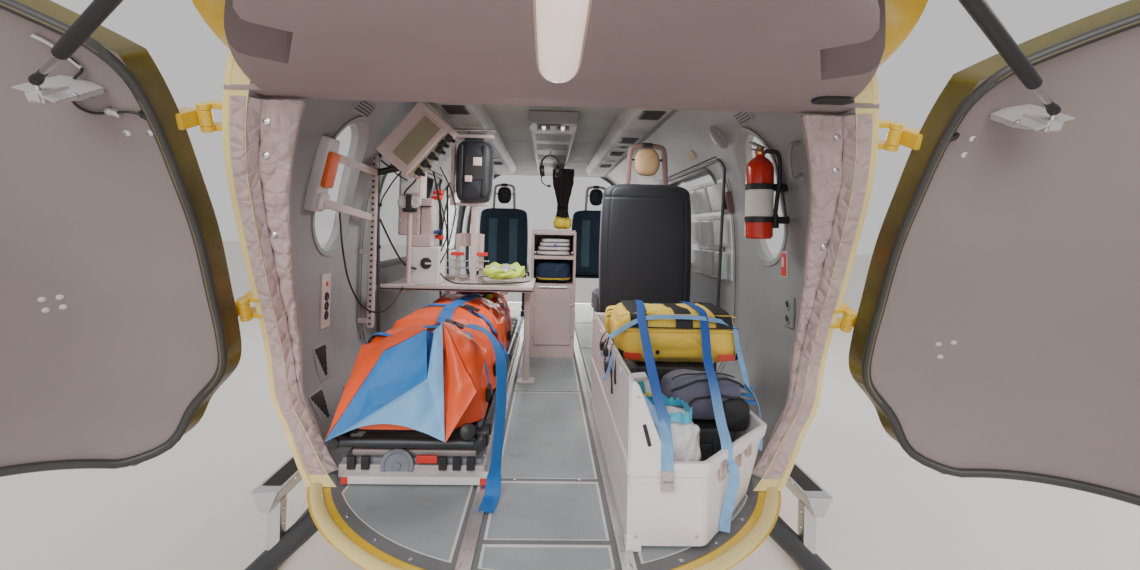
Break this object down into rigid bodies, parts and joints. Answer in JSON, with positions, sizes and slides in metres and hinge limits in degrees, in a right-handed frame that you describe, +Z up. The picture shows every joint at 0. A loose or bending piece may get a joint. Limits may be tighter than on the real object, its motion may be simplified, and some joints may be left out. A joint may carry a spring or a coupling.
{
  "type": "air ambulance helicopter cabin section",
  "caption": "Rear fuselage section of an air ambulance helicopter on its skids, with open clamshell doors and a fitted medical cabin.",
  "frame": {"origin": "on the ground under the middle of the section's length and width", "axes": "+Y towards the nose, +X to the right of someone facing the nose, +Z up"},
  "size_m": [3.2334, 4.82, 2.367],
  "materials": {
    "yellow_paint": "gloss",
    "mauve_paint": "satin",
    "trim_grey": "matt",
    "floor_grey": "matt",
    "quilt": "quilted",
    "aluminium": "satin",
    "dark_metal": "satin",
    "steel": "polished",
    "white_panel": "satin",
    "pale_metal": "satin",
    "black_seat": "matt",
    "navy_seat": "matt",
    "orange_fabric": "coated",
    "yellow_fabric": "coated",
    "slate_fabric": "woven",
    "white_fabric": "coated",
    "red_paint": "gloss",
    "curtain_fabric": "woven",
    "glass": "clear"
  },
  "bodies": {
    "fuselage": {"belly_tub": "yellow_paint", "cabin_floor": "floor_grey", "wall_L": "yellow_paint", "wall_R": "yellow_paint", "sliding_door_L": "yellow_paint", "sliding_door_R": "yellow_paint", "rear_window_L": "glass", "rear_window_R": "glass", "sliding_window_L": "glass", "sliding_window_R": "glass", "roof": "yellow_paint", "rear_frame": "yellow_paint", "boom_root": "yellow_paint", "boom_panel": "mauve_paint", "front_frame": "trim_grey", "liner_L": "quilt", "liner_R": "quilt", "ceiling": "trim_grey", "ceiling_console": "trim_grey", "cross_tube_rear": "dark_metal", "cross_tube_front": "dark_metal", "skid_L": "dark_metal", "skid_R": "dark_metal", "step_L": "aluminium", "step_R": "aluminium", "attendant_seat": "black_seat", "crew_seat_L": "navy_seat", "crew_seat_R": "navy_seat", "rack": "pale_metal", "monitor": "pale_metal", "ventilator": "dark_metal", "cabinet": "pale_metal", "curtain": "curtain_fabric", "stretcher_base": "pale_metal", "stretcher": "dark_metal", "stretcher_bag": "orange_fabric", "crate": "white_panel", "crate_cases": "white_panel", "bag_yellow": "yellow_fabric", "bag_yellow_small": "yellow_fabric", "bag_grey": "slate_fabric", "bag_white": "white_fabric", "extinguisher": "red_paint"},
    "clamshell_L": {"clamshell_door_L": "yellow_paint"},
    "strut_L": {"strut_barrel_L": "steel"},
    "rod_L": {"strut_rod_L": "dark_metal"},
    "cockpit_L": {"cockpit_door_L": "yellow_paint", "cockpit_glass_L": "glass"},
    "clamshell_R": {"clamshell_door_R": "yellow_paint"},
    "strut_R": {"strut_barrel_R": "steel"},
    "rod_R": {"strut_rod_R": "dark_metal"},
    "cockpit_R": {"cockpit_door_R": "yellow_paint", "cockpit_glass_R": "glass"}
  },
  "joints": [
    {"name": "clamshell_R_close", "type": "hinge", "parent": "fuselage", "child": "clamshell_R", "pos_m": [0.887, -1.185, 1.254], "axis": [0.0516, 0.4213, -0.9055], "range_deg": [0, 94.9]},
    {"name": "strut_R_turn", "type": "hinge", "parent": "fuselage", "child": "strut_R", "pos_m": [0.3, -2.125, 2.015], "axis": [0.1244, 0.2868, 0.9499], "range_deg": [0, 27.7]},
    {"name": "rod_R_slide", "type": "slide", "parent": "strut_R", "child": "rod_R", "axis": [-0.824, -0.5034, 0.26], "range_m": [0, 0.2285]},
    {"name": "cockpit_R_open", "type": "hinge", "parent": "fuselage", "child": "cockpit_R", "pos_m": [0.884, 2.178, 1.27], "axis": [0, 0, 1], "range_deg": [0, 75]},
    {"name": "clamshell_L_close", "type": "hinge", "parent": "fuselage", "child": "clamshell_L", "pos_m": [-0.887, -1.185, 1.254], "axis": [0.0516, -0.4213, 0.9055], "range_deg": [0, 94.9]},
    {"name": "strut_L_turn", "type": "hinge", "parent": "fuselage", "child": "strut_L", "pos_m": [-0.3, -2.125, 2.015], "axis": [0.1244, -0.2868, -0.9499], "range_deg": [0, 27.7]},
    {"name": "rod_L_slide", "type": "slide", "parent": "strut_L", "child": "rod_L", "axis": [0.824, -0.5034, 0.26], "range_m": [0, 0.2285]},
    {"name": "cockpit_L_open", "type": "hinge", "parent": "fuselage", "child": "cockpit_L", "pos_m": [-0.884, 2.178, 1.27], "axis": [0, 0, -1], "range_deg": [0, 75]}
  ],
  "couplings": [
    {"joint": "strut_R_turn", "follows": "clamshell_R_close", "ratio": 0.29093},
    {"joint": "rod_R_slide", "follows": "clamshell_R_close", "m_per_rad": 0.13767},
    {"joint": "strut_L_turn", "follows": "clamshell_L_close", "ratio": 0.29093},
    {"joint": "rod_L_slide", "follows": "clamshell_L_close", "m_per_rad": 0.13767}
  ]
}
